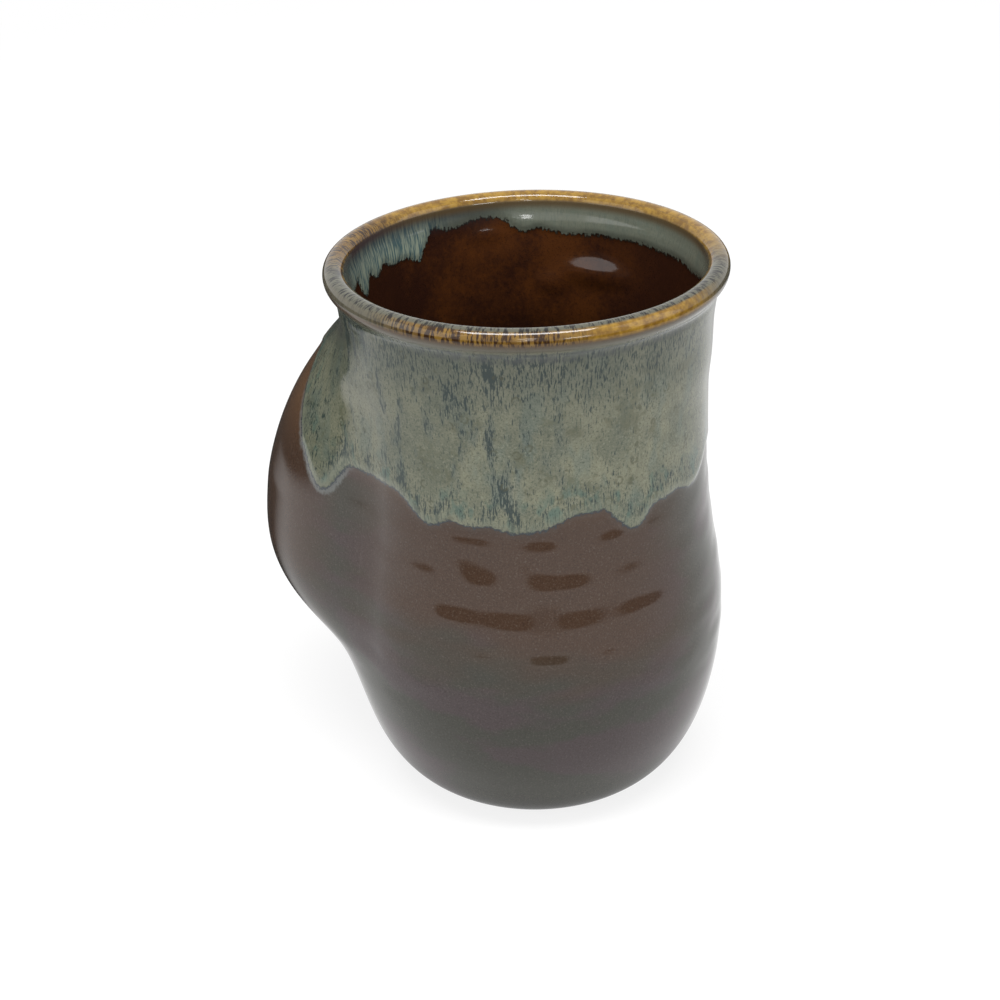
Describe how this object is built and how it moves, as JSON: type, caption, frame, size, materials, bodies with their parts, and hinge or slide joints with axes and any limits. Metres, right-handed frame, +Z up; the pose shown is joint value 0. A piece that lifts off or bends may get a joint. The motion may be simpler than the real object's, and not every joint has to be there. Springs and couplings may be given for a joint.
{
  "type": "hand-warmer mug",
  "caption": "Stoneware hand-warmer mug: a round thrown cup with a rolled rim and, in place of a handle, a clay pocket on its side that takes the fingers of one hand.",
  "frame": {"origin": "middle of the flat foot, on the table", "axes": "+Z up along the cup's axis, -X towards the middle of the hand pocket, +Y the side that the pocket opens to"},
  "size_m": [0.1145, 0.089, 0.127],
  "materials": {
    "bare_stoneware": "bare fired clay, matte",
    "brown_glaze": "brown satin-gloss glaze with a fine grain",
    "rim_glaze": "ochre gloss glaze with dark flecks",
    "amber_liner_glaze": "red-brown gloss glaze",
    "green_dip_glaze": "grey-green gloss glaze with blue streaks"
  },
  "bodies": {
    "root": {"foot": "bare_stoneware", "cup_body": "brown_glaze", "rim_roll": "rim_glaze", "hand_pocket": "brown_glaze", "liner_glaze": "amber_liner_glaze", "inner_dip_glaze": "green_dip_glaze", "dip_glaze": "green_dip_glaze"}
  },
  "joints": []
}
